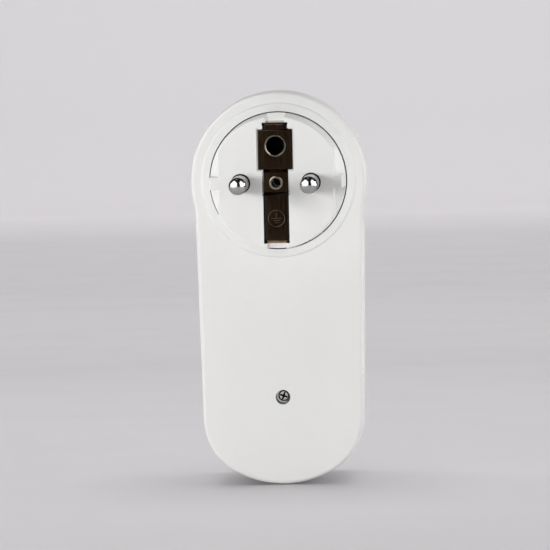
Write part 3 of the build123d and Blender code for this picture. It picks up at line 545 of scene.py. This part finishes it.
def key_mark(key, shape):
    """A raised sign on one key's cap: a ring, an arrowhead or two bars."""
    line_w, line_h, half_w = 0.35 * MM, 0.12 * MM, 1.2 * MM
    low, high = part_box(f"{key}_button")
    centre = Vector(((low.x + high.x) / 2, low.y + 0.004 * MM, (low.z + high.z) / 2))
    work = bmesh.new()
    if shape == "ring":
        add_ring(work, centre, FORWARD, 1.0 * MM, line_w, line_h, 40)
    if shape == "arrow":
        tip = centre + Vector((0, 0, 0.9 * MM))
        for side in (-1, 1):
            foot = centre + Vector((side * half_w, 0, -0.5 * MM))
            add_bar(work, foot, tip, FORWARD, line_w, line_h)
    if shape == "bars":
        reach = Vector((half_w, 0, 0))
        for lift in (-0.5, 0.5):
            rise = Vector((0, 0, lift * MM))
            add_bar(work, centre - reach + rise, centre + reach + rise, FORWARD, line_w, line_h)
    return new_piece(f"{key}_mark", work, f"{key}_key", "housing_white")


def rounded_outline(half_w, half_h, radius, steps=8):
    """Points of a rounded rectangle, counter-clockwise, as (x, z) pairs."""
    points = []
    for corner, (sx, sz) in enumerate(((1, 1), (-1, 1), (-1, -1), (1, -1))):
        for step in range(steps + 1):
            turn = math.pi / 2 * (corner + step / steps)
            x = sx * (half_w - radius) + radius * math.cos(turn)
            z = sz * (half_h - radius) + radius * math.sin(turn)
            points.append((x, z))
    return points


def window_mask():
    """The dark printed border behind the display window."""
    gap, thick = 0.02 * MM, 0.06 * MM
    low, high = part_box("lcd_window")
    centre_x, centre_z = (low.x + high.x) / 2, (low.z + high.z) / 2
    half_w, half_h = (high.x - low.x) / 2, (high.z - low.z) / 2
    back = high.y + gap
    outer = rounded_outline(half_w - 2.05 * MM, half_h - 2.05 * MM, 1.0 * MM)
    inner = rounded_outline(half_w - 3.6 * MM, half_h - 3.4 * MM, 0.8 * MM)
    work = bmesh.new()
    layers = []
    for depth in (back, back + thick):
        rings = []
        for outline in (outer, inner):
            rings.append([work.verts.new((centre_x + x, depth, centre_z + z)) for x, z in outline])
        layers.append(rings)
    count = len(outer)
    for i in range(count):
        j = (i + 1) % count
        for outside, inside in layers:
            work.faces.new((outside[i], outside[j], inside[j], inside[i]))
        for ring in (0, 1):
            near, far = layers[0][ring], layers[1][ring]
            work.faces.new((near[i], near[j], far[j], far[i]))
    return new_piece("window_mask", work, "housing", "header_black")


def display_segments():
    """The unlit seven-bar figures of the display, in two rows of five."""
    figures, pitch, bar_w, bar_h, bar_gap = 5, 3.9, 0.42, 0.015, 0.12
    rows = ((2.5, 4.6), (-3.4, 3.0))  # lift over the window's middle, and height
    level = [((-1, v), (1, v)) for v in (1, 0, -1)]
    upright = [((u, top), (u, top - 1)) for top in (1, 0) for u in (-1, 1)]
    face_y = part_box("lcd_panel")[0].y - 0.01 * MM
    window_low, window_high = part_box("lcd_window")
    middle_z = (window_low.z + window_high.z) / 2
    work = bmesh.new()
    for lift, height in rows:
        half_w, half_h = height / 4 * MM, height / 2 * MM
        for index in range(figures):
            x = -(index - (figures - 1) / 2) * pitch * MM
            centre = Vector((x, face_y, middle_z + lift * MM))
            for ends in level + upright:
                start, end = (centre + Vector((u * half_w, 0, v * half_h)) for u, v in ends)
                trim = (end - start) * bar_gap
                add_bar(work, start + trim, end - trim, FORWARD, bar_w * MM, bar_h * MM)
    unlit = moulded("lcd_segment", (0.115, 0.13, 0.105), 0.4, grain=0.1)
    return new_piece("display_segments", work, "housing", "lcd_glass", unlit)


def solder_joints():
    """Small solder cones where the busbars, contacts and leads meet the main board's rear side."""
    cone_h, sides = 0.9 * MM, 20
    profile = [(1.0, 0.0), (0.62, 0.25), (0.38, 0.55), (0.2, 0.9)]  # share of the radius, share of the height
    board_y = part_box("main_board")[1].y
    work = bmesh.new()
    spots = []
    for name in ("left_busbar", "right_busbar"):
        bar_low, bar_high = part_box(name)
        spots.append(((bar_low.x + bar_high.x) / 2, bar_low.z + 0.3 * MM, 1.5 * MM))
    header_low, header_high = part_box("board_header")
    for index in range(6):
        x = (header_low.x + header_high.x) / 2 + (index - 2.5) * 2.54 * MM
        spots.append((x, (header_low.z + header_high.z) / 2, 0.75 * MM))
    for x, z, radius in spots:
        rows = []
        for share, rise in profile:
            ring = []
            for step in range(sides):
                turn = 2 * math.pi * step / sides
                spread_x = radius * share * math.cos(turn)
                spread_z = radius * share * math.sin(turn)
                ring.append(work.verts.new((x + spread_x, board_y + rise * cone_h, z + spread_z)))
            rows.append(ring)
        tip = work.verts.new((x, board_y + cone_h, z))
        for one, two in zip(rows, rows[1:]):
            for i in range(sides):
                j = (i + 1) % sides
                work.faces.new((one[i], one[j], two[j], two[i]))
        for i in range(sides):
            work.faces.new((rows[-1][i], rows[-1][(i + 1) % sides], tip))
        work.faces.new(rows[0])
    return new_piece("solder_joints", work, "housing", "can_metal")


earth_mark()
display_segments()
for key_name, sign in (("mode", "ring"), ("up", "arrow"), ("set", "bars")):
    key_mark(key_name, sign)
window_mask()
solder_joints()


# ---- stage ----


def backdrop():
    """Floor that curves up into a wall far behind, in one smooth sheet whose grey changes along its depth as
    painted light and shade.
    """
    front, back, radius, top, half = 1.9, -1.55, 0.45, 1.6, 0.9
    floor_steps, curve_steps = 12, 16
    path = [(front - (front - back) * i / floor_steps, 0.0) for i in range(floor_steps + 1)]
    for step in range(1, curve_steps + 1):
        turn = math.pi / 2 * step / curve_steps
        path.append((back - radius * math.sin(turn), radius * (1 - math.cos(turn))))
    path.append((back - radius, top))
    work = bmesh.new()
    rows = [[work.verts.new((x, y, floor_z + z)) for x in (-half, half)] for y, z in path]
    for one, two in zip(rows, rows[1:]):
        work.faces.new((one[0], one[1], two[1], two[0]))
    mesh = bpy.data.meshes.new("backdrop")
    work.to_mesh(mesh)
    work.free()
    for face in mesh.polygons:
        face.use_smooth = True
    sheet = bpy.data.objects.new("backdrop", mesh)
    bpy.context.scene.collection.objects.link(sheet)
    look = Look("backdrop")
    split = look.add("ShaderNodeSeparateXYZ")
    look.link(look.place, split.inputs["Vector"])
    ramp = look.add("ShaderNodeValToRGB")
    far, near = -2.0, 0.2
    reach = look.spread(split.outputs["Y"], 0, 1, far, near)
    look.link(reach, ramp.inputs["Fac"])
    # Painted light and shade: the grey stops set the backdrop's darker and lighter bands along its depth.
    stops = (  # place along Y, and grey
        (-2.0, 0.575),
        (-1.75, 0.60),
        (-1.55, 0.665),
        (-1.3, 0.465),
        (-1.1, 0.406),
        (-0.9, 0.365),
        (-0.45, 0.385),
        (-0.2, 0.505),
        (0.15, 0.66),
    )
    for _ in stops[2:]:
        ramp.color_ramp.elements.new(0.5)
    for stop, (y, grey) in zip(ramp.color_ramp.elements, stops):
        stop.position = (y - far) / (near - far)
        stop.color = (grey, grey * 0.97, grey, 1)
    look.link(ramp.outputs["Color"], look.shader.inputs["Base Color"])
    look.link(look.spread(look.noise(25, 3), 0.42, 0.46), look.shader.inputs["Roughness"])
    look.value("Specular IOR Level", 0.2)
    mesh.materials.append(look.material)


def softbox(name, place, target, size, power):
    """A rectangular light at place that faces target."""
    data = bpy.data.lights.new(name, "AREA")
    data.shape = "RECTANGLE"
    data.size, data.size_y = size
    data.energy = power
    lamp = bpy.data.objects.new(name, data)
    bpy.context.scene.collection.objects.link(lamp)
    lamp.visible_camera = False
    lamp.location = place
    lamp.rotation_euler = (Vector(target) - Vector(place)).to_track_quat("-Z", "Y").to_euler()
    return lamp


CENTRE = (0, 0, 0)
PINS = ("plug_pin_left", "plug_pin_right")
REAR = ("rear_shell", "left_grip", "right_grip")
OUTSIDE = (*REAR, "front_shell", "housing_screw", "backdrop")
PLUG_SIDE = ("plug_insert", "earth_strap", "earth_rivet", "earth_pin_sleeve", *PINS)


def group_of(name, members):
    """A collection of CAD nodes and pieces, for a light to be limited to."""
    group = bpy.data.collections.new(name)
    for member in members:
        group.objects.link(nodes[member] if member in nodes else bpy.data.objects[member])
    return group


def camera():
    """The camera of the main view: from behind, a little to one side of the plug axis and above it."""
    azimuth, elevation, roll = math.radians(182.4), math.radians(3.4), math.radians(1.2)
    distance = 1.486
    aim = Vector((0.0007, 0.0, -0.0248))
    back = Vector((
        math.sin(azimuth) * math.cos(elevation),
        -math.cos(azimuth) * math.cos(elevation),
        math.sin(elevation),
    ))
    data = bpy.data.cameras.new("camera")
    data.lens = 360.9
    data.sensor_width = 36
    data.clip_start = 0.05
    data.clip_end = 20
    view = bpy.data.objects.new("camera", data)
    bpy.context.scene.collection.objects.link(view)
    view.location = aim + back * distance
    turn = back.to_track_quat("Z", "Y").to_matrix().to_4x4() @ Matrix.Rotation(-roll, 4, "Z")
    view.rotation_euler = turn.to_euler()
    bpy.context.scene.camera = view


def side_panel(name, near, far, top, power):
    """A tall softbox that stands on the floor between two points, given as (x, y), and faces the object."""
    centre = (Vector((*near, 0)) + Vector((*far, 0))) / 2
    run = Vector((*far, 0)) - Vector((*near, 0))
    inward = Vector((0, 0, 1)).cross(run).normalized()
    if inward.dot(centre) > 0:
        inward = -inward
    centre.z = (floor_z + top) / 2
    return softbox(name, centre, centre + inward, (run.length, top - floor_z), power)


def polar(angle, distance):
    """The point (x, y) at a distance from the object, at an angle from +Y towards +X, in degrees."""
    turn = math.radians(angle)
    return distance * math.sin(turn), distance * math.cos(turn)


def studio_world():
    """A dark room in reflections and as light, and a pale one where the camera looks past the floor."""
    world = bpy.data.worlds.new("studio")
    world.use_nodes = True
    tree = world.node_tree
    dark = tree.nodes["Background"]
    dark.inputs["Color"].default_value = (0.8, 0.82, 0.85, 1)
    dark.inputs["Strength"].default_value = 0.03
    pale = tree.nodes.new("ShaderNodeBackground")
    pale.inputs["Color"].default_value = (0.66, 0.645, 0.66, 1)
    rays = tree.nodes.new("ShaderNodeLightPath")
    choice = tree.nodes.new("ShaderNodeMixShader")
    tree.links.new(rays.outputs["Is Camera Ray"], choice.inputs["Fac"])
    tree.links.new(dark.outputs["Background"], choice.inputs[1])
    tree.links.new(pale.outputs["Background"], choice.inputs[2])
    tree.links.new(choice.outputs["Shader"], tree.nodes["World Output"].inputs["Surface"])
    bpy.context.scene.world = world


backdrop()
camera()

# Two keys from one place: the pins' shadows fall on the plug, and the housing has no shadow from the plug.
key_place, key_size = (0.72, 0.69, 0.13), (0.24, 0.30)
plug_key = softbox("plug_key", key_place, CENTRE, key_size, 6.75)
plug_key.light_linking.receiver_collection = group_of("plug_receivers", PLUG_SIDE)
plug_key.light_linking.blocker_collection = group_of("plug_blockers", PINS)
body_key = softbox("body_key", key_place, CENTRE, key_size, 5.6)
body_key.light_linking.receiver_collection = group_of("body_receivers", OUTSIDE)
body_key.light_linking.blocker_collection = group_of("body_blockers", ("housing_screw",))

# Lights that reach the object and the backdrop.
left_panel = side_panel("left_panel", polar(5, 1.46), polar(98, 0.80), 0.75, 0.6)
right_panel = side_panel("right_panel", polar(-35, 1.26), polar(-98, 0.80), 0.75, 2.5)
fill = softbox("front_fill", (0.0, 1.50, 0.0), CENTRE, (1.3, 0.9), 4.0)

# Lights that reach the object only.
pieces = [thing.name for thing in bpy.data.objects if thing.type == "MESH" and thing.name != "backdrop"]
object_only = group_of("display_receivers", pieces)
display_light = softbox("display_light", (0.30, -1.30, 0.06), (0, 0, -0.02), (1.0, 0.5), 9.0)
top_fill = softbox("top_fill", (0.0, 0.25, 1.2), CENTRE, (0.8, 0.8), 3.0)
left_rim = softbox("left_rim", (1.0, -0.22, 0.1), CENTRE, (0.3, 0.8), 1.0)
right_rim = softbox("right_rim", (-1.0, -0.22, 0.1), CENTRE, (0.3, 0.8), 7.0)
for lamp in (display_light, top_fill, left_rim, right_rim):
    lamp.light_linking.receiver_collection = object_only
bounce = softbox("floor_bounce", (0, 0.070, -0.081), (0, 0.019, -0.079), (0.06, 0.004), 0.0055)
bounce.light_linking.receiver_collection = group_of("bounce_receivers", REAR)

for lamp in (plug_key, body_key, left_panel, right_panel, fill, display_light, top_fill, bounce):
    lamp.visible_glossy = False

# Lights that show in reflections only.
shines = [
    side_panel("left_shine", polar(5, 1.40), polar(98, 0.75), 1.3, 14.0),
    side_panel("right_shine", polar(-35, 1.20), polar(-98, 0.75), 1.3, 9.5),
    softbox("top_shine", (0.13, -0.32, 1.15), CENTRE, (0.12, 0.12), 0.12),
]
for lamp in shines:
    lamp.visible_diffuse = False

# Lights that reach the backdrop only.
wall = softbox("wall_light", (0.0, -0.45, 1.1), (0.0, -1.30, 0.60), (2.4, 0.5), 35.0)
floor_lamp = softbox("floor_light", (0.0, 0.02, 1.2), (0.0, 0.12, 0.0), (1.0, 1.0), 8.7)
for lamp in (wall, floor_lamp):
    lamp.light_linking.receiver_collection = group_of(lamp.name + "_receivers", ("backdrop",))

studio_world()
bpy.context.scene.view_settings.view_transform = "Standard"
bpy.context.scene.view_settings.look = "None"
